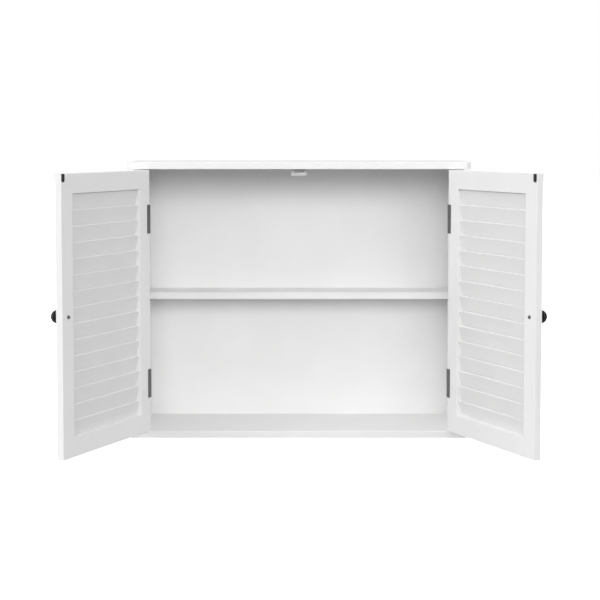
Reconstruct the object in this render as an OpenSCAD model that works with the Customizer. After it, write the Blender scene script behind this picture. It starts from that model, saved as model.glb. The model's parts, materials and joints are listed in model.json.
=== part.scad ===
// Hanging wall cabinet with two louvred doors, standing open, and one half-depth shelf.
// X runs to the right, Y into the wall and Z up. The wall plane is Y = 0, and the origin is
// midway between the round ends of the two keyholes that hang the cabinet. Sizes are in millimetres.

/* [Carcass] */
// Width of the top and bottom boards
width = 600; // [560:10:760]
// Height over the top and bottom boards
height = 486; // [470:2:640]
// Depth of the top and bottom boards
depth = 175; // [165:5:220]
// Thickness of the boards, the shelf and the doors, with their paint
board_t = 12.5; // [12:0.5:14]
// How far the top and bottom boards reach past the side panels
overhang = 12.5; // [6:0.5:20]
// How far the side panels and the closed doors stand back from the boards' front edges
front_recess = 6; // [5.6:0.2:12]
// Radius of the front corners of the top and bottom boards
corner_r = 10; // [4:1:20]
// Thickness of the back panel
back_t = 3; // [2.5:0.5:4]
// Gap between the wall and the back panel, which takes the heads of the wall screws
back_inset = 5.5; // [5:0.5:8]
// Depth of the groove that holds the back panel
groove_d = 4; // [3:0.5:4]

/* [Shelf] */
// Depth of the shelf, front to back
shelf_d = 81.5; // [70:0.5:110]
// Gap between each end of the shelf and its side panel
shelf_gap = 0.5; // [0.3:0.1:1]
// Radius of the shelf pins
shelf_pin_r = 2.5; // [2:0.5:3]

/* [Doors] */
// How far the doors stand open, where 0 is closed
open_angle = 115; // [0:5:180]
// Gap above and below each door
door_gap = 1.5; // [1:0.1:3]
// Gap between the two closed doors
meeting_gap = 2; // [1.6:0.2:4]
// Width of the stiles
stile_w = 32; // [30:1:45]
// Height of the rails
rail_h = 32.5; // [28:0.5:45]

/* [Louvres] */
// Number of slats in each door
slat_count = 15; // [13:1:16]
// Width of a slat over its round edges
slat_w = 29; // [28.5:0.1:30]
// Thickness of a slat
slat_t = 3.5; // [3:0.1:4]
// Lean of a slat from upright, top edge towards the back of the door
slat_tilt = 12.5; // [11:0.5:14]
// Depth of a slat's top edge below the door's back face
slat_inset = 4; // [3:0.1:4.5]
// Depth of the housings in the stiles
housing_d = 5; // [4:0.5:6]

/* [Hinges] */
// Height of a hinge
hinge_h = 50; // [44:1:60]
// Distance from the door's top or bottom edge to the middle of a hinge
hinge_end = 85; // [75:1:110]
// Gap between a door's edge and the side panel, which holds both leaves
hinge_gap = 2.5; // [2.4:0.1:3]
// Thickness of the leaves
leaf_t = 1; // [0.8:0.1:1]
// Width of the leaf on the side panel
cabinet_leaf_w = 14; // [13:0.5:20]
// Width of the lip that the door leaf folds over the back of the door
lip_w = 8.5; // [6:0.5:12]
// Outer radius of the knuckles
knuckle_r = 2.5; // [2.3:0.1:2.6]
// Radius of the hinge pins
pin_r = 1.25; // [1:0.05:1.3]

/* [Knobs and catch] */
// Radius of a knob
knob_r = 11.25; // [9:0.25:14]
// Height of a knob above the door's face
knob_h = 18.5; // [16:0.5:24]
// Distance from the door's free edge to the middle of the knob
knob_edge = 16.5; // [14:0.5:18]
// Width of the magnetic catch
catch_w = 27; // [25:0.5:32]
// Height of the magnetic catch
catch_h = 12; // [11:0.5:15]

/* [Wall hanging] */
// Distance between the two keyholes
hang_spacing = 500; // [440:5:500]
// Drop from the top board's underside to the keyholes
hang_drop = 30; // [26:1:34]
// Radius of a keyhole's round end
keyhole_r = 4.75; // [4:0.25:5]

/* [Hidden] */
$fn = 48;
slack = 0.05;               // radial clearance between a fixed fastener and its hole
screw_room = 0.2;           // radial clearance of a screw in its hole, and the same below its tip
running = 0.05;             // radial clearance of a knuckle on its pin
glue = 0.1;                 // clearance round a tenon

side_out = width / 2 - overhang;
side_in = side_out - board_t;
under_z = hang_drop;                                 // underside of the top board
floor_z = under_z - (height - 2 * board_t);          // top of the bottom board
front_y = -depth;
side_y = front_y + front_recess;                     // front edge of the side panels
back_y0 = -back_inset - back_t;                      // front of the back panel
mid_z = (under_z + floor_z) / 2;

// Fixings of the boards to the side panels
cam_r = 6;
cam_d = 9.6;
cam_end = 24;               // from a side panel's end to the middle of a cam
cam_track_r = 2.7;
bolt_r = 2.5;
bolt_thread_r = 3;
bolt_thread_l = 8.5;
bolt_neck_r = 1.6;
bolt_head_r = 2.4;
dowel_r = 3;
dowel_board = 8;            // dowel length in the board
dowel_side = 16;            // dowel length in the side panel
joint_x = side_in + board_t / 2;
cam_ys = [side_y + 29, -35];
dowel_y = (cam_ys[0] + cam_ys[1]) / 2;

// Shelf
shelf_z = mid_z - board_t / 2;                       // underside of the shelf
shelf_back = back_y0 - 0.5;
shelf_pin_in = 8;           // pin length in the side panel
shelf_pin_out = 7;          // pin length under the shelf
shelf_pin_z = shelf_z - shelf_pin_r;
shelf_pin_ys = [shelf_back - shelf_d + 15, shelf_back - 17];

// Hinges: the hinge axis is the origin of the door's own frame, with +X towards its free edge
axis_proud = knuckle_r + 0.4;                        // axis in front of the door's face
axis_x = side_in - hinge_gap / 2;
axis_y = side_y - axis_proud;
hinge_zs = [under_z - door_gap - hinge_end, floor_z + door_gap + hinge_end];
knuckles = 5;
knuckle_gap = 0.4;
knuckle_l = (hinge_h - (knuckles - 1) * knuckle_gap) / knuckles;
sweep_r = knuckle_r + 0.35;                          // room that a leaf leaves round a turning knuckle
hinge_screw_z = hinge_h * 0.3;
hinge_screw_r = 1.3;
hinge_screw_head = 2.7;
cabinet_screw_l = 10;
door_screw_l = 14;

// Door, in its own frame
edge_x = hinge_gap / 2;
free_x = axis_x - meeting_gap / 2;
face_y = axis_proud;
rear_y = face_y + board_t;
door_top = under_z - door_gap;
door_bottom = floor_z + door_gap;
open_x0 = edge_x + stile_w;
open_x1 = free_x - stile_w;
open_top = door_top - rail_h;
open_bottom = door_bottom + rail_h;
tenon_l = 12;
tenon_t = 5;
tenon_shoulder = 4;

// Slats
slat_r = slat_t / 2;
slat_l = slat_w - slat_t;
slat_pitch = (open_top - open_bottom) / slat_count;
slat_y = rear_y - slat_inset - slat_r;
slat_z0 = open_top - 0.2 - slat_r;
slat_shoulder = 1.2;        // front of the stile left whole in front of a housing

// Knob and its screw
knob_x = free_x - knob_edge;
knob_foot_r = 6;
knob_foot_h = 1.5;
knob_neck_r = 4.6;
knob_flare_z = 6.5;
knob_rim_z0 = 8.5;
knob_rim_z1 = 10;
knob_screw_r = 2;
knob_screw_bite = 10;
knob_head_r = 3.2;
knob_head_h = 2.2;

// Strike plate
strike_w = 7.5;
strike_h = 13.5;
strike_t = 1.2;
strike_edge = 0.5;
strike_x = free_x - strike_edge - strike_w / 2;
strike_screw_z = door_top - strike_h + strike_w / 2;
strike_screw_r = 1;
strike_screw_head = 2.1;
strike_screw_l = 9.5;

// Catch
catch_gap = 0.3;            // between the catch and a closed door's strike plate
catch_y = side_y + board_t + strike_t + catch_gap;   // front of the catch
catch_d = 12;
catch_wall = 4;
catch_floor = 2.6;
catch_flange_d = 11;
catch_flange_t = 2.5;
catch_screw_x = 7;
catch_screw_r = 1.4;
catch_screw_head = 2.8;
catch_screw_l = 10;

// Hanger plates
hanger_t = 1.5;
hanger_x1 = side_out - 2.5;                          // outer edge
hanger_x0 = hang_spacing / 2 - 23;                   // inner edge
hanger_top = under_z + board_t - 2.5;
hanger_low = -18;
hanger_slot_r = 2.4;
hanger_slot_l = 9;
hanger_fit = 0.2;           // gap round a plate in its rebate
hanger_screw_r = 1.5;
hanger_screw_head = 3.2;
hanger_screw_l = 18;
hanger_board_xs = [hanger_x0 + 8, hanger_x0 + 32];
hanger_board_z = under_z + board_t / 2;
hanger_side_zs = [4, -12];
hanger_side_x = side_out - board_t / 2 + 1;

PAINT = [0.95, 0.95, 0.94];
BACK = [0.93, 0.93, 0.92];
BRONZE = [0.17, 0.16, 0.15];
STEEL = [0.72, 0.73, 0.74];
PLASTIC = [0.92, 0.92, 0.91];
BEECH = [0.82, 0.68, 0.48];

// ---- Helpers ----

// A block between two corners
module block(lo, hi) {
    translate(lo) cube(hi - lo);
}

// The same thing on the left and mirrored on the right
module both_sides() {
    children();
    mirror([1, 0, 0]) children();
}

// Turns a shape that points along +Z to point along +X or +Y
module along_x() {
    rotate([0, 90, 0]) children();
}
module along_y() {
    rotate([-90, 0, 0]) children();
}

// Countersunk screw with its head's flat face at the origin, pointing along +Z
module screw(r, head_r, l) {
    cone_h = head_r - r;
    cylinder(h = cone_h, r1 = head_r, r2 = r);
    translate([0, 0, cone_h]) cylinder(h = l - cone_h, r = r);
}

// Hole that leaves room round such a screw
module screw_hole(r, head_r, l) {
    screw(r + screw_room, head_r + screw_room, l + screw_room);
}

// A cross recess in a screw head
module cross_recess(size, d) {
    for (a = [0, 90]) rotate(a) translate([-size, -size / 5, -d]) cube([2 * size, size * 0.4, 2 * d]);
}

// The screw with its recess, its head sunk a little below the surface
module cut_screw(r, head_r, l) {
    sink = 0.05;
    translate([0, 0, sink]) difference() {
        screw(r, head_r, l - sink);
        cross_recess(head_r * 0.55, 0.8);
    }
}

// The frame of the open left door, and the same on the right
module on_left_door() {
    translate([-axis_x, axis_y, 0]) rotate([0, 0, -open_angle]) children();
}
module on_right_door() {
    mirror([1, 0, 0]) on_left_door() children();
}
module at_left_axis() {
    translate([-axis_x, axis_y, 0]) children();
}
module at_right_axis() {
    mirror([1, 0, 0]) at_left_axis() children();
}

// ---- Carcass ----

// Outline of the top and bottom boards, with round front corners
module board_outline() {
    w = width - 2 * corner_r;
    translate([-width / 2, front_y + corner_r]) square([width, depth - corner_r]);
    translate([-w / 2, front_y]) square([w, corner_r + 1]);
    for (s = [-1, 1]) translate([s * w / 2, front_y + corner_r]) circle(r = corner_r);
}

// Everything that the top and bottom boards have cut in their inner faces, rising from z = 0
module board_bores() {
    both_sides() {
        for (y = cam_ys) translate([-joint_x, y, -1])
            cylinder(h = bolt_thread_l + 1.2, r = bolt_thread_r + slack);
        translate([-joint_x, dowel_y, -1]) cylinder(h = dowel_board + 1.5, r = dowel_r + slack);
    }
    groove_x = side_in + groove_d + 0.2;
    block([-groove_x, back_y0 - 0.2, -1], [groove_x, -back_inset + 0.2, groove_d + 0.2]);
}

module top_board() {
    color(PAINT) difference() {
        translate([0, 0, under_z]) linear_extrude(board_t) board_outline();
        translate([0, 0, under_z]) board_bores();
        both_sides() {
            block([-hanger_x1 - hanger_fit, -hanger_t, under_z - 1],
                [-hanger_x0 + hanger_fit, 1, hanger_top + hanger_fit]);
            hanger_screw_places() screw_hole(hanger_screw_r, hanger_screw_head, hanger_screw_l);
        }
        catch_screw_places() screw_hole(catch_screw_r, catch_screw_head, catch_screw_l);
    }
}

module bottom_board() {
    color(PAINT) difference() {
        translate([0, 0, floor_z - board_t]) linear_extrude(board_t) board_outline();
        translate([0, 0, floor_z]) mirror([0, 0, 1]) board_bores();
    }
}

// Left side panel; the right one is its mirror image
module side_panel() {
    difference() {
        block([-side_out, side_y, floor_z], [-side_in, 0, under_z]);
        for (end = [[under_z, -1], [floor_z, 1]]) {
            for (y = cam_ys) {
                translate([-side_in - cam_d - 0.2, y, end[0] + end[1] * cam_end])
                    along_x() cylinder(h = cam_d + 1, r = cam_r + slack);
                translate([-joint_x, y, end[0]]) mirror([0, 0, end[1] < 0 ? 1 : 0])
                    translate([0, 0, -1]) cylinder(h = cam_end + 1, r = bolt_r + slack);
            }
            translate([-joint_x, dowel_y, end[0]]) mirror([0, 0, end[1] < 0 ? 1 : 0])
                translate([0, 0, -1]) cylinder(h = dowel_side + 1.5, r = dowel_r + slack);
        }
        for (y = shelf_pin_ys) translate([-side_in - shelf_pin_in - 0.2, y, shelf_pin_z])
            along_x() cylinder(h = shelf_pin_in + 1, r = shelf_pin_r + slack);
        for (z = hinge_zs, s = [-1, 1]) at_left_axis() cabinet_screw_place(z + s * hinge_screw_z)
            screw_hole(hinge_screw_r, hinge_screw_head, cabinet_screw_l);
        block([-side_in - groove_d - 0.2, back_y0 - 0.2, floor_z - 1],
            [-side_in + 1, -back_inset + 0.2, under_z + 1]);
        block([-hanger_x1 - hanger_fit, -hanger_t, hanger_low - hanger_fit],
            [-side_in + 1, 1, under_z + 1]);
        hanger_screw_places() screw_hole(hanger_screw_r, hanger_screw_head, hanger_screw_l);
    }
}

module left_side_panel() {
    color(PAINT) side_panel();
}
module right_side_panel() {
    color(PAINT) mirror([1, 0, 0]) side_panel();
}

module back_panel() {
    color(BACK) block([-side_in - groove_d, back_y0, floor_z - groove_d],
        [side_in + groove_d, -back_inset, under_z + groove_d]);
}

module shelf() {
    color(PAINT) block([-side_in + shelf_gap, shelf_back - shelf_d, shelf_z],
        [side_in - shelf_gap, shelf_back, shelf_z + board_t]);
}

module shelf_pins() {
    color(STEEL) both_sides() for (y = shelf_pin_ys) translate([-side_in - shelf_pin_in, y, shelf_pin_z])
        along_x() cylinder(h = shelf_pin_in + shelf_pin_out, r = shelf_pin_r);
}

// A cam lock, with its driven face at the origin and its body along -Z, open towards +X for the bolt
module cam_lock() {
    difference() {
        translate([0, 0, -cam_d]) cylinder(h = cam_d, r = cam_r);
        translate([-cam_track_r, 0, -board_t / 2]) along_x()
            cylinder(h = cam_r + 2 * cam_track_r, r = cam_track_r);
        cross_recess(3.2, 2);
    }
}

module cam_locks() {
    color(STEEL) both_sides() for (end = [[under_z, -1], [floor_z, 1]], y = cam_ys)
        translate([-side_in, y, end[0] + end[1] * cam_end]) along_x()
            rotate(end[1] < 0 ? 180 : 0) cam_lock();
}

// A cam bolt standing in a board, with the board's face at z = 0, the thread above and the head below
module cam_bolt() {
    neck_z = cam_end - cam_r - 0.5;
    cylinder(h = bolt_thread_l, r = bolt_thread_r);
    translate([0, 0, -neck_z]) cylinder(h = neck_z + 1, r = bolt_r);
    translate([0, 0, -cam_end + 1]) cylinder(h = cam_r + 1, r = bolt_neck_r);
    translate([0, 0, -cam_end - 1.2]) cylinder(h = 3, r = bolt_head_r);
}

module cam_bolts() {
    color(STEEL) both_sides() for (y = cam_ys) {
        translate([-joint_x, y, under_z]) cam_bolt();
        translate([-joint_x, y, floor_z]) mirror([0, 0, 1]) cam_bolt();
    }
}

module wooden_dowels() {
    color(BEECH) both_sides() for (low = [under_z - dowel_side, floor_z - dowel_board])
        translate([-joint_x, dowel_y, low]) cylinder(h = dowel_side + dowel_board, r = dowel_r);
}

// ---- Wall hanging ----

// Left hanger plate: a steel corner plate let into the rear edges of the top board and the side panel
module hanger_plate() {
    leg = 2 * (side_out - hanger_side_x);
    difference() {
        along_y() mirror([0, 1]) translate([0, 0, -hanger_t]) linear_extrude(hanger_t) polygon([
            [-hanger_x1, hanger_top], [-hanger_x0, hanger_top], [-hanger_x0, under_z - 9],
            [-hanger_x0 - 9, -11], [-hanger_x0 - 16, hanger_low], [-hanger_x1, hanger_low]
        ]);
        translate([-hang_spacing / 2, -leg, 0]) along_y() {
            cylinder(h = 2 * leg, r = keyhole_r);
            translate([0, -hanger_slot_l, 0]) cylinder(h = 2 * leg, r = hanger_slot_r);
            translate([-hanger_slot_r, -hanger_slot_l, 0])
                cube([2 * hanger_slot_r, hanger_slot_l, 2 * leg]);
        }
        hanger_screw_places() screw_hole(hanger_screw_r, hanger_screw_head, hanger_screw_l);
    }
}

// Stands its children at each screw of the left hanger plate, pointing into the board
module hanger_screw_places() {
    for (x = hanger_board_xs) translate([-x, 0, hanger_board_z]) mirror([0, 1, 0]) along_y() children();
    for (z = hanger_side_zs) translate([-hanger_side_x, 0, z]) mirror([0, 1, 0]) along_y() children();
}

module left_hanger_plate() {
    color(STEEL) hanger_plate();
}
module right_hanger_plate() {
    color(STEEL) mirror([1, 0, 0]) hanger_plate();
}
module hanger_screws() {
    color(STEEL) both_sides() hanger_screw_places()
        cut_screw(hanger_screw_r, hanger_screw_head, hanger_screw_l);
}

// ---- Catch ----

// Stands its children at each screw of the catch, pointing up into the top board
module catch_screw_places() {
    y = catch_y + catch_d + catch_flange_d / 2;
    for (s = [-1, 1]) translate([s * catch_screw_x, y, under_z - catch_flange_t]) children();
}

// White casing, open at the front for the magnet, with a flange behind for its screws
module catch_housing() {
    color(PLASTIC) difference() {
        union() {
            block([-catch_w / 2, catch_y, under_z - catch_h], [catch_w / 2, catch_y + catch_d, under_z]);
            block([-catch_w / 2, catch_y + catch_d - 1, under_z - catch_flange_t],
                [catch_w / 2, catch_y + catch_d + catch_flange_d, under_z]);
        }
        block([-catch_w / 2 + catch_wall, catch_y - 1, under_z - catch_h + catch_floor],
            [catch_w / 2 - catch_wall, catch_y + catch_d - 2, under_z + 1]);
        catch_screw_places() screw_hole(catch_screw_r, catch_screw_head, catch_screw_l);
    }
}

// Magnet between two steel pole plates that lie level with the casing's front
module catch_magnet() {
    x = catch_w / 2 - catch_wall - 0.1;
    z0 = under_z - catch_h + catch_floor + 0.1;
    z1 = under_z - 0.1;
    y1 = catch_y + catch_d - 2.2;
    plate_t = 1.4;
    color(STEEL) {
        block([-x, catch_y, z0], [x, y1, z0 + plate_t]);
        block([-x, catch_y, z1 - plate_t], [x, y1, z1]);
        block([-x, catch_y + 0.6, z0 + plate_t], [x, y1, z1 - plate_t]);
    }
}

module catch_screws() {
    color(STEEL) catch_screw_places() cut_screw(catch_screw_r, catch_screw_head, catch_screw_l);
}

// ---- Hinges ----

// Knuckles of one leaf on the hinge axis, counted from the bottom
module hinge_knuckles(z, which) {
    for (i = which) translate([0, 0, z - hinge_h / 2 + i * (knuckle_l + knuckle_gap)])
        cylinder(h = knuckle_l, r = knuckle_r);
}

// Room for the other leaf's knuckles
module knuckle_room(z, which) {
    for (i = which)
        translate([0, 0, z - hinge_h / 2 + i * (knuckle_l + knuckle_gap) - knuckle_gap])
            cylinder(h = knuckle_l + 2 * knuckle_gap, r = sweep_r);
}

// Screw of the leaf on the left side panel, pointing into the panel
module cabinet_screw_place(z) {
    translate([-hinge_gap / 2 + leaf_t, axis_proud + cabinet_leaf_w / 2, z])
        mirror([1, 0, 0]) along_x() children();
}

// Screw of the leaf on the door's edge, pointing into the door
module door_screw_place(z) {
    translate([edge_x - leaf_t, face_y + board_t / 2, z]) along_x() children();
}

CABINET_KNUCKLES = [0, 2, 4];
DOOR_KNUCKLES = [1, 3];

// Leaf on the side panel, about the hinge axis
module cabinet_leaf(z) {
    difference() {
        union() {
            difference() {
                block([-hinge_gap / 2, 0, z - hinge_h / 2],
                    [-hinge_gap / 2 + leaf_t, axis_proud + cabinet_leaf_w, z + hinge_h / 2]);
                knuckle_room(z, DOOR_KNUCKLES);
            }
            hinge_knuckles(z, CABINET_KNUCKLES);
        }
        translate([0, 0, z - hinge_h]) cylinder(h = 2 * hinge_h, r = pin_r);
        for (s = [-1, 1]) cabinet_screw_place(z + s * hinge_screw_z)
            screw_hole(hinge_screw_r, hinge_screw_head, cabinet_screw_l);
    }
}

// Leaf on the door's edge, with a lip folded over the back of the door
module door_leaf(z) {
    difference() {
        union() {
            difference() {
                union() {
                    block([edge_x - leaf_t, 0, z - hinge_h / 2],
                        [edge_x, rear_y + leaf_t, z + hinge_h / 2]);
                    block([edge_x - leaf_t, rear_y, z - hinge_h / 2],
                        [edge_x + lip_w, rear_y + leaf_t, z + hinge_h / 2]);
                }
                knuckle_room(z, CABINET_KNUCKLES);
            }
            hinge_knuckles(z, DOOR_KNUCKLES);
        }
        translate([0, 0, z - hinge_h]) cylinder(h = 2 * hinge_h, r = pin_r + running);
        for (s = [-1, 1]) door_screw_place(z + s * hinge_screw_z)
            screw_hole(hinge_screw_r, hinge_screw_head, door_screw_l);
    }
}

// Pin with a small head at each end
module hinge_pin(z) {
    head_h = 0.8;
    translate([0, 0, z - hinge_h / 2 - head_h]) cylinder(h = hinge_h + 2 * head_h, r = pin_r);
    translate([0, 0, z + hinge_h / 2]) cylinder(h = head_h, r = pin_r + 0.7);
    translate([0, 0, z - hinge_h / 2 - head_h]) cylinder(h = head_h, r = pin_r + 0.7);
}

module left_upper_cabinet_leaf() {
    color(BRONZE) at_left_axis() cabinet_leaf(hinge_zs[0]);
}
module left_lower_cabinet_leaf() {
    color(BRONZE) at_left_axis() cabinet_leaf(hinge_zs[1]);
}
module right_upper_cabinet_leaf() {
    color(BRONZE) at_right_axis() cabinet_leaf(hinge_zs[0]);
}
module right_lower_cabinet_leaf() {
    color(BRONZE) at_right_axis() cabinet_leaf(hinge_zs[1]);
}
module left_upper_hinge_pin() {
    color(BRONZE) at_left_axis() hinge_pin(hinge_zs[0]);
}
module left_lower_hinge_pin() {
    color(BRONZE) at_left_axis() hinge_pin(hinge_zs[1]);
}
module right_upper_hinge_pin() {
    color(BRONZE) at_right_axis() hinge_pin(hinge_zs[0]);
}
module right_lower_hinge_pin() {
    color(BRONZE) at_right_axis() hinge_pin(hinge_zs[1]);
}
module cabinet_leaf_screws() {
    color(BRONZE) both_sides() at_left_axis() for (z = hinge_zs, s = [-1, 1])
        cabinet_screw_place(z + s * hinge_screw_z)
            cut_screw(hinge_screw_r, hinge_screw_head, cabinet_screw_l);
}

// ---- Doors, in the door's own frame ----

// One slat's section drawn from x0 to x1; k counts from the top
module slat_bar(k, x0, x1, grow = 0) {
    r = slat_r + grow;
    translate([x0, slat_y, slat_z0 - k * slat_pitch]) rotate([90, 0, 90]) rotate(-slat_tilt)
        linear_extrude(x1 - x0) {
            circle(r = r);
            translate([0, -slat_l]) circle(r = r);
            translate([-r, -slat_l]) square([2 * r, slat_l]);
        }
}

// The ends of a slat that sit in the stiles, cut back behind the stiles' faces
module slat_tenon(k, grow = 0) {
    intersection() {
        slat_bar(k, open_x0 - housing_d - grow, open_x1 + housing_d + grow, grow);
        block([0, face_y + slat_shoulder - grow, door_bottom], [free_x, rear_y, door_top]);
    }
}

module slats() {
    for (k = [0 : slat_count - 1]) intersection() {
        union() {
            slat_bar(k, open_x0 + 0.05, open_x1 - 0.05);
            slat_tenon(k);
        }
        block([0, 0, open_bottom + 0.1], [free_x, rear_y, open_top]);
    }
}

// Tenons of the rails, reaching tenon_l into each stile
module rail_tenon(z0, z1, grow = 0) {
    y = face_y + board_t / 2;
    block([open_x0 - tenon_l - grow, y - tenon_t / 2 - grow, z0 + tenon_shoulder - grow],
        [open_x1 + tenon_l + grow, y + tenon_t / 2 + grow, z1 - tenon_shoulder + grow]);
}

// Cut away from both stiles: the housings of the slats and the mortises of the rails
module stile_housings() {
    for (k = [0 : slat_count - 1]) slat_tenon(k, glue);
    rail_tenon(open_top, door_top, glue);
    rail_tenon(door_bottom, open_bottom, glue);
}

module hinge_stile() {
    difference() {
        block([edge_x, face_y, door_bottom], [open_x0, rear_y, door_top]);
        stile_housings();
        for (z = hinge_zs, s = [-1, 1]) door_screw_place(z + s * hinge_screw_z)
            screw_hole(hinge_screw_r, hinge_screw_head, door_screw_l);
    }
}

module meeting_stile() {
    difference() {
        block([open_x1, face_y, door_bottom], [free_x, rear_y, door_top]);
        stile_housings();
        translate([knob_x, face_y - 1, mid_z]) along_y() cylinder(h = board_t + 2, r = knob_screw_r + 0.2);
        strike_screw_place() screw_hole(strike_screw_r, strike_screw_head, strike_screw_l);
    }
}

module rail(z0, z1) {
    block([open_x0, face_y, z0], [open_x1, rear_y, z1]);
    rail_tenon(z0, z1);
}

module door_leaf_screws() {
    for (z = hinge_zs, s = [-1, 1]) door_screw_place(z + s * hinge_screw_z)
        cut_screw(hinge_screw_r, hinge_screw_head, door_screw_l);
}

// Domed knob with its foot on the origin, standing along +Z
module knob_body() {
    dome = knob_h - knob_rim_z1;
    dome_r = (knob_r * knob_r + dome * dome) / (2 * dome);
    difference() {
        union() {
            cylinder(h = knob_foot_h, r = knob_foot_r);
            cylinder(h = knob_flare_z + 0.5, r = knob_neck_r);
            translate([0, 0, knob_flare_z])
                cylinder(h = knob_rim_z0 - knob_flare_z, r1 = knob_neck_r, r2 = knob_r - 0.6);
            translate([0, 0, knob_rim_z0]) cylinder(h = knob_rim_z1 - knob_rim_z0, r = knob_r);
            intersection() {
                translate([0, 0, knob_h - dome_r]) sphere(r = dome_r);
                translate([0, 0, knob_rim_z1]) cylinder(h = dome + 1, r = knob_r);
            }
        }
        translate([0, 0, -1]) cylinder(h = knob_screw_bite + 1.3, r = knob_screw_r + slack);
    }
}

module knob() {
    translate([knob_x, face_y, mid_z]) rotate([90, 0, 0]) knob_body();
}

// Round-headed screw through the stile into the knob
module knob_screw() {
    translate([knob_x, rear_y, mid_z]) rotate([90, 0, 0]) difference() {
        union() {
            cylinder(h = board_t + knob_screw_bite, r = knob_screw_r);
            translate([0, 0, -knob_head_h])
                cylinder(h = knob_head_h, r1 = knob_head_r - 0.9, r2 = knob_head_r);
        }
        translate([0, 0, -knob_head_h]) cross_recess(1.6, 1.2);
    }
}

module strike_screw_place() {
    translate([strike_x, rear_y + strike_t, strike_screw_z]) rotate([90, 0, 0]) children();
}

// Strike plate on the door's back at its top free corner, with a round lower end
module strike_plate() {
    x0 = strike_x - strike_w / 2;
    difference() {
        union() {
            block([x0, rear_y, strike_screw_z], [x0 + strike_w, rear_y + strike_t, door_top - 0.1]);
            translate([strike_x, rear_y, strike_screw_z]) along_y()
                cylinder(h = strike_t, r = strike_w / 2);
        }
        strike_screw_place() screw_hole(strike_screw_r, strike_screw_head, strike_screw_l);
    }
}

module strike_screw() {
    strike_screw_place() cut_screw(strike_screw_r, strike_screw_head, strike_screw_l);
}

module left_hinge_stile() {
    color(PAINT) on_left_door() hinge_stile();
}
module left_meeting_stile() {
    color(PAINT) on_left_door() meeting_stile();
}
module left_top_rail() {
    color(PAINT) on_left_door() rail(open_top, door_top);
}
module left_bottom_rail() {
    color(PAINT) on_left_door() rail(door_bottom, open_bottom);
}
module left_slats() {
    color(PAINT) on_left_door() slats();
}
module left_upper_door_leaf() {
    color(BRONZE) on_left_door() door_leaf(hinge_zs[0]);
}
module left_lower_door_leaf() {
    color(BRONZE) on_left_door() door_leaf(hinge_zs[1]);
}
module left_door_leaf_screws() {
    color(BRONZE) on_left_door() door_leaf_screws();
}
module left_knob() {
    color(BRONZE) on_left_door() knob();
}
module left_knob_screw() {
    color(BRONZE) on_left_door() knob_screw();
}
module left_strike_plate() {
    color(BRONZE) on_left_door() strike_plate();
}
module left_strike_screw() {
    color(BRONZE) on_left_door() strike_screw();
}

module right_hinge_stile() {
    color(PAINT) on_right_door() hinge_stile();
}
module right_meeting_stile() {
    color(PAINT) on_right_door() meeting_stile();
}
module right_top_rail() {
    color(PAINT) on_right_door() rail(open_top, door_top);
}
module right_bottom_rail() {
    color(PAINT) on_right_door() rail(door_bottom, open_bottom);
}
module right_slats() {
    color(PAINT) on_right_door() slats();
}
module right_upper_door_leaf() {
    color(BRONZE) on_right_door() door_leaf(hinge_zs[0]);
}
module right_lower_door_leaf() {
    color(BRONZE) on_right_door() door_leaf(hinge_zs[1]);
}
module right_door_leaf_screws() {
    color(BRONZE) on_right_door() door_leaf_screws();
}
module right_knob() {
    color(BRONZE) on_right_door() knob();
}
module right_knob_screw() {
    color(BRONZE) on_right_door() knob_screw();
}
module right_strike_plate() {
    color(BRONZE) on_right_door() strike_plate();
}
module right_strike_screw() {
    color(BRONZE) on_right_door() strike_screw();
}

top_board();
bottom_board();
left_side_panel();
right_side_panel();
back_panel();
shelf();
shelf_pins();
cam_locks();
cam_bolts();
wooden_dowels();
left_hanger_plate();
right_hanger_plate();
hanger_screws();
catch_housing();
catch_magnet();
catch_screws();
left_upper_cabinet_leaf();
left_lower_cabinet_leaf();
right_upper_cabinet_leaf();
right_lower_cabinet_leaf();
left_upper_hinge_pin();
left_lower_hinge_pin();
right_upper_hinge_pin();
right_lower_hinge_pin();
cabinet_leaf_screws();
left_hinge_stile();
left_meeting_stile();
left_top_rail();
left_bottom_rail();
left_slats();
left_upper_door_leaf();
left_lower_door_leaf();
left_door_leaf_screws();
left_knob();
left_knob_screw();
left_strike_plate();
left_strike_screw();
right_hinge_stile();
right_meeting_stile();
right_top_rail();
right_bottom_rail();
right_slats();
right_upper_door_leaf();
right_lower_door_leaf();
right_door_leaf_screws();
right_knob();
right_knob_screw();
right_strike_plate();
right_strike_screw();
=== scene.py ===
"""Looks of a hanging wall cabinet with two louvred doors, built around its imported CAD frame."""

import json
import math

import bmesh
import bpy
import numpy as np
from mathutils import Matrix, Vector


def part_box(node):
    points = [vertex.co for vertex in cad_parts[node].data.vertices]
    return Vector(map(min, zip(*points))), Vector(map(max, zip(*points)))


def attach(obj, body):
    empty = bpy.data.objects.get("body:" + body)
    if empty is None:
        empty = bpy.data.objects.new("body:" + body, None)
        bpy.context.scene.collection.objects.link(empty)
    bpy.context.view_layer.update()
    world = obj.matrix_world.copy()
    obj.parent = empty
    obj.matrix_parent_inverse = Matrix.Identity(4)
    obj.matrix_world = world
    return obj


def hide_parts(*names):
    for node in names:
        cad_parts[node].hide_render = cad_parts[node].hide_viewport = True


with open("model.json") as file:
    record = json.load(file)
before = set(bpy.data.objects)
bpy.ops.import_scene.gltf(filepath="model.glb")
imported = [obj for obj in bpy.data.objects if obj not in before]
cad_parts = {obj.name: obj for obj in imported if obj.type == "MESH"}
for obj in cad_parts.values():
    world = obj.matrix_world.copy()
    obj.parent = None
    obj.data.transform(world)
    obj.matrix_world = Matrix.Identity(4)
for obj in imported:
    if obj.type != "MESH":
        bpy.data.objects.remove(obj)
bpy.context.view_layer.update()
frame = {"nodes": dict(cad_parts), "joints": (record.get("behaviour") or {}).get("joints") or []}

MM = 0.001
ROUND_STEPS = 4             # faces across an eased edge, or points across a slat's
SHARP_ANGLE = math.radians(32)
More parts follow.
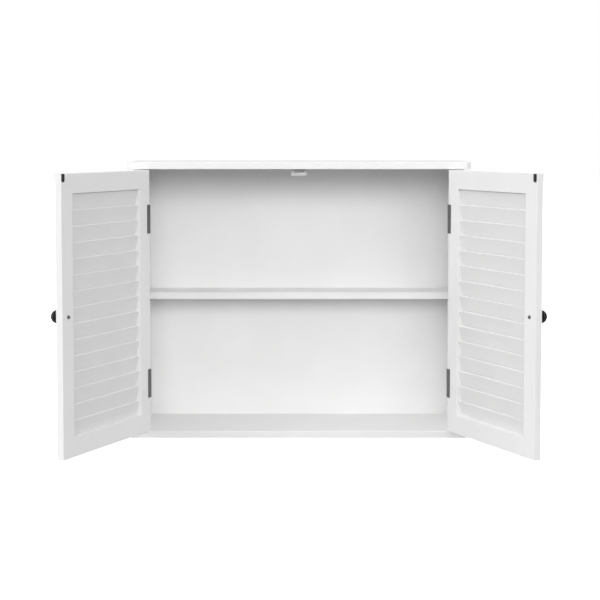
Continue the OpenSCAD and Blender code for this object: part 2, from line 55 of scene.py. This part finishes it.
FLAT_ANGLE = math.radians(0.2)  # faces that turn less than this are one flat face
WELD = 2e-6                 # points nearer than this are one
BOARD_EASE = 1.0 * MM       # radius of the boards' outer edges
PANEL_EASE = 0.8 * MM       # radius of the side panels' and the shelf's front edges
FRAME_EASE = 0.9 * MM       # radius of the door frames' edges
CASING_EASE = 0.45 * MM     # radius of the catch casing's edges
MAGNET_EASE = 0.15 * MM     # radius of the magnet's edges
POLE_PLATE = 1.6 * MM       # thickness of each pole plate on the magnet
TOUCH = 0.05 * MM           # how near counts as lying on a plane
ON_CUT = 1e-7               # how near counts as lying on a cut
SQUARE_ON = 0.99            # a face whose normal runs this much along an axis is square to it
SLAT_WIDTH = 29 * MM        # over the eased edges
SLAT_EASE = 0.6 * MM        # radius of the slats' long edges
SLAT_HIGHLIGHT_RISE = 0.5        # a face whose normal rises or falls by more is on a long edge, which gets the whiter lacquer as a painted highlight
SLAT_LEANS = np.radians(np.linspace(-30, 30, 601))  # tried one by one to find a slat's lean


# ---- Materials ----

FINE_GRAIN = 0.05 * MM      # depth of the grain in cast metal and moulded plastic
PEEL_DEPTH = 0.12 * MM      # depth of the orange peel in sprayed paint
WOOD_GRAIN = 0.1 * MM       # depth of the beech's grain
LACQUER_IOR = 1.48


def node_material(name):
    """A new material, its nodes, its shader and the object's own coordinates."""
    mat = bpy.data.materials.new(name)
    mat.use_nodes = True
    nodes = mat.node_tree.nodes
    shader = nodes["Principled BSDF"]
    where = nodes.new("ShaderNodeTexCoord")
    return mat, mat.node_tree, shader, where.outputs["Object"]


def noise(tree, where, scale, detail):
    node = tree.nodes.new("ShaderNodeTexNoise")
    node.inputs["Scale"].default_value = scale
    node.inputs["Detail"].default_value = detail
    tree.links.new(where, node.inputs["Vector"])
    return node.outputs["Fac"]


def span(tree, value, low, high, source=(0.3, 0.7)):
    """A value, from source's range to low..high."""
    node = tree.nodes.new("ShaderNodeMapRange")
    node.inputs["From Min"].default_value = source[0]
    node.inputs["From Max"].default_value = source[1]
    node.inputs["To Min"].default_value = low
    node.inputs["To Max"].default_value = high
    tree.links.new(value, node.inputs["Value"])
    return node.outputs["Result"]


def between(tree, value, low, high, source=(0.3, 0.7)):
    """A colour between low and high."""
    ramp = tree.nodes.new("ShaderNodeValToRGB")
    ramp.color_ramp.elements[0].position = source[0]
    ramp.color_ramp.elements[0].color = (*low, 1)
    ramp.color_ramp.elements[1].position = source[1]
    ramp.color_ramp.elements[1].color = (*high, 1)
    tree.links.new(value, ramp.inputs["Fac"])
    return ramp.outputs["Color"]


def bump(tree, height, strength, distance):
    node = tree.nodes.new("ShaderNodeBump")
    node.inputs["Strength"].default_value = strength
    node.inputs["Distance"].default_value = distance
    tree.links.new(height, node.inputs["Height"])
    return node.outputs["Normal"]


def dress(tree, shader, colour, roughness, normal):
    """Gives the shader its colour, its sheen and the skin of its surface."""
    tree.links.new(colour, shader.inputs["Base Color"])
    tree.links.new(roughness, shader.inputs["Roughness"])
    tree.links.new(normal, shader.inputs["Normal"])


def lacquer(name, low, high, rough, peel=0.05):
    """Sprayed satin paint on board, with a fine orange peel."""
    mat, tree, shader, where = node_material(name)
    tint = between(tree, noise(tree, where, scale=14, detail=3), low, high)
    sheen = span(tree, noise(tree, where, scale=55, detail=3), *rough)
    skin = bump(tree, noise(tree, where, scale=620, detail=2), peel, PEEL_DEPTH)
    dress(tree, shader, tint, sheen, skin)
    shader.inputs["IOR"].default_value = LACQUER_IOR
    return mat


def metal(name, low, high, rough, metallic, grain=400.0):
    """Metal with a fine grain and an uneven sheen."""
    mat, tree, shader, where = node_material(name)
    tint = between(tree, noise(tree, where, scale=grain, detail=4), low, high)
    sheen = span(tree, noise(tree, where, scale=grain * 1.7, detail=3), *rough)
    skin = bump(tree, noise(tree, where, scale=grain * 3, detail=3), strength=0.12, distance=FINE_GRAIN)
    dress(tree, shader, tint, sheen, skin)
    shader.inputs["Metallic"].default_value = metallic
    return mat


def plastic(name, low, high, rough):
    """Moulded plastic with a faintly grained skin."""
    mat, tree, shader, where = node_material(name)
    tint = between(tree, noise(tree, where, scale=120, detail=2), low, high)
    sheen = span(tree, noise(tree, where, scale=300, detail=2), *rough)
    skin = bump(tree, noise(tree, where, scale=1800, detail=2), strength=0.15, distance=FINE_GRAIN)
    dress(tree, shader, tint, sheen, skin)
    return mat


def beech_wood(name):
    """Beech with a straight grain."""
    mat, tree, shader, where = node_material(name)
    grain = tree.nodes.new("ShaderNodeTexWave")
    grain.inputs["Scale"].default_value = 260
    grain.inputs["Distortion"].default_value = 5
    grain.inputs["Detail"].default_value = 3
    tree.links.new(where, grain.inputs["Vector"])
    fleck = grain.outputs["Fac"]
    tint = between(tree, fleck, (0.56, 0.36, 0.19), (0.68, 0.47, 0.27), source=(0.1, 0.9))
    sheen = span(tree, fleck, 0.5, 0.62, source=(0.0, 1.0))
    skin = bump(tree, fleck, strength=0.2, distance=WOOD_GRAIN)
    dress(tree, shader, tint, sheen, skin)
    return mat


WHITE = lacquer(
    "white_lacquer", (0.845, 0.845, 0.843), (0.867, 0.867, 0.866), rough=(0.36, 0.46))
# painted shade on the slats' faces: the same white lacquer, a little darker
SLAT_SHADED_WHITE = lacquer(
    "white_slats_painted_shade", (0.798, 0.798, 0.796), (0.822, 0.822, 0.820), rough=(0.38, 0.48))
BACK = lacquer(
    "white_back", (0.840, 0.840, 0.838), (0.862, 0.862, 0.861), rough=(0.44, 0.54), peel=0.08)
BRONZE = metal(
    "dark_bronze", (0.030, 0.029, 0.028), (0.058, 0.055, 0.053), rough=(0.34, 0.5), metallic=0.8)
LEAF_BRONZE = metal(
    "leaf_bronze", (0.125, 0.122, 0.119), (0.165, 0.161, 0.157), rough=(0.4, 0.55), metallic=0.5)
ZINC = metal(
    "zinc_steel", (0.55, 0.56, 0.57), (0.68, 0.69, 0.70), rough=(0.3, 0.44), metallic=1.0, grain=90)
FERRITE = metal(
    "magnet_steel", (0.44, 0.44, 0.445), (0.50, 0.50, 0.505), rough=(0.4, 0.55), metallic=0.1)
PLASTIC = plastic(
    "white_plastic", (0.60, 0.60, 0.595), (0.65, 0.65, 0.645), rough=(0.4, 0.5))
BEECH = beech_wood("beech")


# ---- Making pieces ----

def add_piece(name, bm, body, materials, nodes, matrix=None, flipped=False):
    """Turns bm into a piece that rides on body and stands for the CAD nodes."""
    if matrix is not None:
        bm.transform(matrix)
    if flipped:
        bmesh.ops.reverse_faces(bm, faces=bm.faces)
    for face in bm.faces:
        face.smooth = True
    for edge in bm.edges:
        edge.smooth = edge.is_manifold and edge.calc_face_angle(0) < SHARP_ANGLE
    mesh = bpy.data.meshes.new(name)
    bm.to_mesh(mesh)
    bm.free()
    for mat in materials:
        mesh.materials.append(mat)
    piece = bpy.data.objects.new(name, mesh)
    bpy.context.scene.collection.objects.link(piece)
    normals = piece.modifiers.new("even_normals", "WEIGHTED_NORMAL")
    normals.keep_sharp = True
    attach(piece, body)
    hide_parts(*nodes)


def flat_faced(node):
    """A copy of a CAD node's mesh, with its flat faces whole."""
    bm = bmesh.new()
    bm.from_mesh(frame["nodes"][node].data)
    bmesh.ops.remove_doubles(bm, verts=bm.verts, dist=WELD)
    bmesh.ops.dissolve_limit(bm, angle_limit=FLAT_ANGLE, verts=bm.verts, edges=bm.edges)
    return bm


def ease(bm, radius, chosen, steps=ROUND_STEPS):
    """Rounds bm's sharp outer edges for which chosen(end, end) holds."""
    edges = [
        e for e in bm.edges
        if e.is_manifold and e.is_convex and e.calc_face_angle(0) > SHARP_ANGLE
        and chosen(e.verts[0].co, e.verts[1].co)
    ]
    bmesh.ops.bevel(
        bm, geom=edges, offset=radius, segments=steps, profile=0.5,
        affect="EDGES", clamp_overlap=True)
    return bm


def lathe(profile, steps=64):
    """A closed turned shape about +Z from (radius, height) points; the first and last are on the axis."""
    bm = bmesh.new()
    rings = []
    for radius, height in profile:
        if radius == 0:
            rings.append([bm.verts.new((0, 0, height))])
            continue
        rings.append([
            bm.verts.new((radius * math.cos(a), radius * math.sin(a), height))
            for a in np.linspace(0, 2 * math.pi, steps, endpoint=False)
        ])
    for low, high in zip(rings, rings[1:]):
        for i in range(steps):
            j = (i + 1) % steps
            ring = [low[i % len(low)], low[j % len(low)], high[j % len(high)], high[i % len(high)]]
            kept = [v for n, v in enumerate(ring) if v not in ring[:n]]
            if len(kept) > 2:
                bm.faces.new(kept)
    bmesh.ops.recalc_face_normals(bm, faces=bm.faces)
    return bm


def arc(centre, radius, start, end, steps):
    """Points of an arc in degrees."""
    return [
        (centre[0] + radius * math.cos(math.radians(a)), centre[1] + radius * math.sin(math.radians(a)))
        for a in np.linspace(start, end, steps)
    ]


# ---- Carcass ----

def near(a, b):
    """Whether two places along an axis are the same."""
    return abs(a - b) < TOUCH


def board_piece(node):
    """A board with its front and end edges eased; the rear edges stay square against the wall."""
    lo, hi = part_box(node)
    rim = 10 * MM           # no bore lies this near to the outline

    def chosen(a, b):
        level = near(a.z, b.z) and (near(a.z, lo.z) or near(a.z, hi.z))
        rear = near(a.y, hi.y) and near(b.y, hi.y)
        mid = (a + b) / 2
        outer = abs(mid.x) > hi.x - rim or mid.y < lo.y + rim
        return level and outer and not rear

    bm = ease(flat_faced(node), BOARD_EASE, chosen)
    add_piece(node + "_painted", bm, "root", [WHITE], [node])


def panel_piece(node):
    """A side panel with its two upright front edges eased."""
    lo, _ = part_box(node)

    def chosen(a, b):
        return near(a.y, lo.y) and near(b.y, lo.y) and not near(a.z, b.z)

    bm = ease(flat_faced(node), PANEL_EASE, chosen)
    add_piece(node + "_painted", bm, "root", [WHITE], [node])


def shelf_piece():
    """The shelf with its front and upper edges eased."""
    lo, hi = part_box("shelf")

    def chosen(a, b):
        return (near(a.y, lo.y) and near(b.y, lo.y)) or (near(a.z, hi.z) and near(b.z, hi.z))

    bm = ease(flat_faced("shelf"), PANEL_EASE, chosen)
    add_piece("shelf_painted", bm, "root", [WHITE], ["shelf"])


for board in ("top_board", "bottom_board"):
    board_piece(board)
for panel in ("left_side_panel", "right_side_panel"):
    panel_piece(panel)
shelf_piece()


def catch_pieces():
    """Moulded casing with soft edges, and a grey magnet between bright pole plates."""
    longest_kept_sharp = 2.4 * MM

    def long_edge(a, b):
        return (a - b).length > longest_kept_sharp

    bm = ease(flat_faced("catch_housing"), CASING_EASE, long_edge, steps=3)
    add_piece("catch_casing", bm, "root", [PLASTIC], ["catch_housing"])
    lo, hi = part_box("catch_magnet")
    bm = flat_faced("catch_magnet")
    for face in bm.faces:
        z = face.calc_center_median().z
        face.material_index = 0 if z < lo.z + POLE_PLATE or z > hi.z - POLE_PLATE else 1
    ease(bm, MAGNET_EASE, long_edge, steps=2)
    add_piece("catch_magnet_block", bm, "root", [ZINC, FERRITE], ["catch_magnet"])


catch_pieces()


# ---- Doors ----

class Door:
    """A door's own frame: origin on the hinge axis, +X to the free edge, +Y to the wall when closed."""

    def __init__(self, side):
        self.side = side
        self.body = side + "_door"
        joint = next(j for j in frame["joints"] if j["child"] == self.body)
        opened = math.radians(-joint["range_deg"][0])
        self.mirrored = side == "right"
        axis = Matrix.Translation((-abs(joint["pos_m"][0]), joint["pos_m"][1], 0))
        self.matrix = axis @ Matrix.Rotation(-opened, 4, "Z")
        if self.mirrored:
            self.matrix = Matrix.Diagonal((-1, 1, 1, 1)) @ self.matrix
        self.back = self.matrix.inverted()

    def node(self, part):
        return f"{self.side}_{part}"

    def box(self, part):
        """A CAD node's lowest and highest corners in the door's own frame."""
        mesh = frame["nodes"][self.node(part)].data
        co = np.array([self.back @ v.co for v in mesh.vertices])
        return Vector(co.min(0)), Vector(co.max(0))

    def local_copy(self, part):
        """A CAD node's mesh in the door's own frame."""
        bm = flat_faced(self.node(part))
        bm.transform(self.back)
        if self.mirrored:
            bmesh.ops.reverse_faces(bm, faces=bm.faces)
        return bm

    def add(self, name, bm, slot, materials, *parts):
        """Adds a piece that was made in the door's own frame."""
        add_piece(
            f"{self.side}_{name}", bm, self.body, materials,
            [self.node(p) for p in parts], self.matrix, self.mirrored)


def frame_ring(outer, inner, y0, y1, radius):
    """A flat frame between two rectangles (x0, z0, x1, z1), its edges rounded on both faces."""
    bm = bmesh.new()
    section = []            # (how far in from the edge, y): round the front edge, then the back one
    for t in np.linspace(0, math.pi / 2, ROUND_STEPS + 1):
        section.append((radius * (1 - math.sin(t)), y0 + radius * (1 - math.cos(t))))
    section += [(inset, y0 + y1 - y) for inset, y in reversed(section)]

    def rings(rect, sign):
        made = []
        for inset, y in section:
            step = sign * inset
            x0, z0, x1, z1 = rect[0] + step, rect[1] + step, rect[2] - step, rect[3] - step
            corners = ((x0, y, z0), (x1, y, z0), (x1, y, z1), (x0, y, z1))
            made.append([bm.verts.new(c) for c in corners])
        return made

    outside, inside = rings(outer, 1), rings(inner, -1)
    loops = outside + list(reversed(inside)) + [outside[0]]
    for a, b in zip(loops, loops[1:]):
        for i in range(4):
            j = (i + 1) % 4
            bm.faces.new((a[i], a[j], b[j], b[i]))
    bmesh.ops.recalc_face_normals(bm, faces=bm.faces)
    return bm


def keep_between(bm, axis, low, high):
    """Cuts bm off at two planes and closes it; None leaves that end whole."""
    for at, sign in ((low, -1), (high, 1)):
        if at is None:
            continue
        normal, origin = Vector(), Vector()
        normal[axis] = sign
        origin[axis] = at
        bmesh.ops.bisect_plane(
            bm, geom=bm.verts[:] + bm.edges[:] + bm.faces[:], dist=ON_CUT,
            plane_co=origin, plane_no=normal, clear_outer=True)
        # a face that lies in the plane and looks back into the kept side is left over
        stray = [
            f for f in bm.faces
            if f.normal[axis] * sign < -SQUARE_ON and near(f.calc_center_median()[axis], at)
        ]
        bmesh.ops.delete(bm, geom=stray, context="FACES")
        bmesh.ops.holes_fill(bm, edges=[e for e in bm.edges if e.is_boundary], sides=0)


def door_frame(door):
    """Stiles and rails painted as one frame, with their edges eased round the outside and the opening."""
    hinge_lo, hinge_hi = door.box("hinge_stile")
    meet_lo, meet_hi = door.box("meeting_stile")
    top_lo, _ = door.box("top_rail")
    _, low_hi = door.box("bottom_rail")
    outer = (hinge_lo.x, hinge_lo.z, meet_hi.x, hinge_hi.z)
    inner = (hinge_hi.x, low_hi.z, meet_lo.x, top_lo.z)
    middle = (low_hi.z + top_lo.z) / 2
    cuts = {
        "hinge_stile": ((0, None, inner[0]),),
        "meeting_stile": ((0, inner[2], None),),
        "top_rail": ((0, inner[0], inner[2]), (2, middle, None)),
        "bottom_rail": ((0, inner[0], inner[2]), (2, None, middle)),
    }
    for part, planes in cuts.items():
        bm = frame_ring(outer, inner, hinge_lo.y, hinge_hi.y, FRAME_EASE)
        for axis, low, high in planes:
            keep_between(bm, axis, low, high)
        door.add(part + "_painted", bm, "white_lacquer", [WHITE], part)


def islands(bm):
    """The connected parts of bm in the order of its vertices, each as a list of points."""
    found, seen = [], set()
    for first in bm.verts:
        if first in seen:
            continue
        seen.add(first)
        todo, points = [first], []
        while todo:
            vert = todo.pop()
            points.append(vert.co.copy())
            for edge in vert.link_edges:
                other = edge.other_vert(vert)
                if other not in seen:
                    seen.add(other)
                    todo.append(other)
        found.append(points)
    return found


def add_slat(bm, points, x0, x1):
    """One slat about the (y, z) points of its section: a flat bar with eased long edges."""
    widths = [np.ptp(points @ (math.cos(a), math.sin(a))) for a in SLAT_LEANS]
    lean = SLAT_LEANS[int(np.argmin(widths))]
    thin = np.array((math.cos(lean), math.sin(lean)))
    wide = np.array((-math.sin(lean), math.cos(lean)))
    near_side, far_side = (points @ thin).min(), (points @ thin).max()
    top = (points @ wide).max()
    corners = (
        (far_side - SLAT_EASE, top - SLAT_EASE, 0),
        (near_side + SLAT_EASE, top - SLAT_EASE, 90),
        (near_side + SLAT_EASE, top - SLAT_WIDTH + SLAT_EASE, 180),
        (far_side - SLAT_EASE, top - SLAT_WIDTH + SLAT_EASE, 270),
    )
    outline = []
    for across, along, start in corners:
        for w, u in arc((across, along), SLAT_EASE, start, start + 90, ROUND_STEPS):
            outline.append(w * thin + u * wide)
    rings = [[bm.verts.new((x, y, z)) for y, z in outline] for x in (x0, x1)]
    bm.faces.new(rings[0])
    bm.faces.new(rings[1])
    for i in range(len(outline)):
        j = (i + 1) % len(outline)
        bm.faces.new((rings[0][i], rings[0][j], rings[1][j], rings[1][i]))


def slat_pieces(door):
    """The slats, from housing to housing, the lowest one cut level with the bottom rail.

    Their long edges are a little whiter than their faces: the faces carry painted shade in a darker copy
    of the lacquer, and the long edges the whiter lacquer as a painted highlight."""
    lo, hi = door.box("slats")
    bm = bmesh.new()
    for points in islands(door.local_copy("slats")):
        add_slat(bm, np.array([(c.y, c.z) for c in points]), lo.x, hi.x)
    bmesh.ops.recalc_face_normals(bm, faces=bm.faces)
    keep_between(bm, 2, lo.z, None)
    for face in bm.faces:
        # painted highlight: long edges take the whiter lacquer, the faces the darker painted-shade copy
        face.material_index = int(abs(face.normal.z) > SLAT_HIGHLIGHT_RISE)
    door.add("slats_painted", bm, "white_lacquer", [SLAT_SHADED_WHITE, WHITE], "slats")


def knob_piece(door):
    """Turned knob: a foot, a waist, a flared underside, a rolled rim and a low dome."""
    lo, hi = door.box("knob")
    radius = (hi.x - lo.x) / 2
    height = hi.y - lo.y
    foot_r, foot_top = 6.0 * MM, 1.5 * MM
    soft = 0.3 * MM         # bevel of the foot's edges
    rim, rim_z = 0.9 * MM, 9.3 * MM
    dome_steps = 16
    dome_flatness = 1.15    # power of the sine; 1 would be an elliptical dome
    profile = [(0, 0), (foot_r - soft, 0), (foot_r, soft)]
    profile += [(foot_r, foot_top - soft), (foot_r - soft, foot_top)]
    waist = ((4.7, 2.0), (4.5, 3.2), (4.6, 4.6), (5.1, 6.0))    # (radius, height) in mm
    flare = ((6.2, 7.2), (8.0, 8.1))
    profile += [(r * MM, z * MM) for r, z in waist + flare]
    profile += arc((radius - rim, rim_z), rim, start=-100, end=70, steps=9)
    edge_r, edge_z = profile[-1]
    for k in range(1, dome_steps):
        t = math.pi / 2 * k / dome_steps
        rise = math.sin(t) ** dome_flatness
        profile.append((edge_r * math.cos(t), edge_z + (height - edge_z) * rise))
    profile.append((0, height))
    bm = lathe(profile)
    foot = Vector(((lo.x + hi.x) / 2, hi.y, (lo.z + hi.z) / 2))
    bm.transform(Matrix.Translation(foot) @ Matrix.Rotation(math.pi / 2, 4, "X"))
    door.add("knob_turned", bm, "dark_bronze", [BRONZE], "knob")


for side in ("left", "right"):
    door = Door(side)
    door_frame(door)
    slat_pieces(door)
    knob_piece(door)


# ---- CAD nodes that show as they are ----

def finish_of(node):
    """The material of a CAD node that no piece replaces."""
    if node == "back_panel":
        return BACK
    if "dowel" in node:
        return BEECH
    if node.endswith(("leaf", "leaf_screws", "knob_screw")):
        return LEAF_BRONZE
    if "hinge_pin" in node or "strike" in node:
        return BRONZE
    return ZINC


def dress_cad_nodes():
    """Gives every CAD node that still shows its material."""
    for name, obj in frame["nodes"].items():
        if obj.hide_render:
            continue
        if not obj.material_slots:
            obj.data.materials.append(None)
        for place in obj.material_slots:
            place.material = finish_of(name)


dress_cad_nodes()


# ---- Studio ----

# Soft lamps: azimuth (0 is the front, positive to the right) and elevation in degrees,
# angular size in degrees, and strength
LAMPS = {
    "front": (0, 14, 22, 0.65),
    "front_raised": (0, 35, 30, 0.16),
    "right_key": (22, 15, 22, 0.52),
    "right_fill": (45, 15, 22, 0.36),
    "right_high": (75, 60, 30, 0.46),
    "left_fill": (-22, 15, 22, 0.16),
    "left_key": (-45, 15, 22, 0.48),
    "left_raised": (-60, 45, 30, 0.45),
    "left_high": (-35, 63, 30, 0.14),
    "left_side": (-80, 15, 30, 0.46),
    "left_side_high": (-80, 60, 30, 0.42),
    "left_low": (-90, -35, 30, 0.13),
}
SKY_BEHIND = 0.65           # the lit backdrop behind the cabinet
SKY_FRONT = 0.26            # the studio in front of it
SKY_BLEND = (-0.3, 0.3)     # from front to back, where one turns into the other
BACKDROP = 1.0              # what the camera sees round the cabinet
FLOOR_Z = -1.25
FLOOR_REACH = 40.0          # half its width
FLOOR_PAINT = 0.9
CAMERA_PLACE = (0, -2.8014, 0.0904)
CAMERA_TILT = 3.55          # downwards, in degrees
CAMERA_SHIFT = (1 / 600, -0.12)     # in picture widths
CAMERA_LENS = 90.415        # in millimetres, as is the sensor
CAMERA_SENSOR = 36.0


def lamp(name, azimuth, elevation, size, strength):
    """A distant soft lamp that shines on the cabinet from the given direction."""
    data = bpy.data.lights.new(name, "SUN")
    data.angle = math.radians(size)
    data.energy = strength
    turn, rise = math.radians(azimuth), math.radians(elevation)
    level = math.cos(rise)
    towards = Vector((math.sin(turn) * level, -math.cos(turn) * level, math.sin(rise)))
    light = bpy.data.objects.new(name, data)
    light.rotation_euler = towards.to_track_quat("Z", "Y").to_euler()
    bpy.context.scene.collection.objects.link(light)


def sky():
    """A studio that is bright behind the cabinet and dimmer in front, on a white backdrop."""
    world = bpy.data.worlds.new("studio")
    world.use_nodes = True
    tree = world.node_tree
    lit = tree.nodes["Background"]
    where = tree.nodes.new("ShaderNodeTexCoord")
    parts = tree.nodes.new("ShaderNodeSeparateXYZ")
    tree.links.new(where.outputs["Generated"], parts.inputs["Vector"])
    glow = span(tree, parts.outputs["Y"], SKY_FRONT, SKY_BEHIND, SKY_BLEND)
    tree.links.new(glow, lit.inputs["Strength"])
    shown = tree.nodes.new("ShaderNodeBackground")
    for background in (lit, shown):
        background.inputs["Color"].default_value = (1, 1, 1, 1)
    shown.inputs["Strength"].default_value = BACKDROP
    path = tree.nodes.new("ShaderNodeLightPath")
    mix = tree.nodes.new("ShaderNodeMixShader")
    tree.links.new(path.outputs["Is Camera Ray"], mix.inputs[0])
    tree.links.new(lit.outputs["Background"], mix.inputs[1])
    tree.links.new(shown.outputs["Background"], mix.inputs[2])
    tree.links.new(mix.outputs["Shader"], tree.nodes["World Output"].inputs["Surface"])
    bpy.context.scene.world = world


def pale_floor():
    """A wide pale floor well below the cabinet, which hangs on a wall."""
    mat, _, shader, _ = node_material("pale_floor")
    shader.inputs["Base Color"].default_value = (FLOOR_PAINT, FLOOR_PAINT, FLOOR_PAINT, 1)
    shader.inputs["Roughness"].default_value = 0.9
    shader.inputs["Emission Color"].default_value = (1, 1, 1, 1)
    shader.inputs["Emission Strength"].default_value = BACKDROP
    bm = bmesh.new()
    bmesh.ops.create_grid(bm, x_segments=1, y_segments=1, size=FLOOR_REACH)
    mesh = bpy.data.meshes.new("floor")
    bm.to_mesh(mesh)
    bm.free()
    mesh.materials.append(mat)
    floor = bpy.data.objects.new("floor", mesh)
    floor.location = (0, 0, FLOOR_Z)
    # white by its own glow; it sheds no light on the cabinet and casts no shadow
    floor.visible_diffuse = False
    floor.visible_glossy = False
    floor.visible_shadow = False
    bpy.context.scene.collection.objects.link(floor)


def studio():
    """Sky, floor and lamps, in Blender's standard view."""
    view = bpy.context.scene.view_settings
    view.view_transform = "Standard"
    view.look = "None"
    sky()
    pale_floor()
    for name, setting in LAMPS.items():
        lamp(name, *setting)


def camera():
    """The photograph's viewing angle, from in front and a little above the top board."""
    data = bpy.data.cameras.new("camera")
    data.sensor_width = CAMERA_SENSOR
    data.lens = CAMERA_LENS
    data.shift_x, data.shift_y = CAMERA_SHIFT
    data.clip_start = 0.05
    data.clip_end = 100
    cam = bpy.data.objects.new("camera", data)
    cam.location = CAMERA_PLACE
    cam.rotation_euler = (math.radians(90 - CAMERA_TILT), 0, 0)
    bpy.context.scene.collection.objects.link(cam)
    bpy.context.scene.camera = cam


studio()
camera()
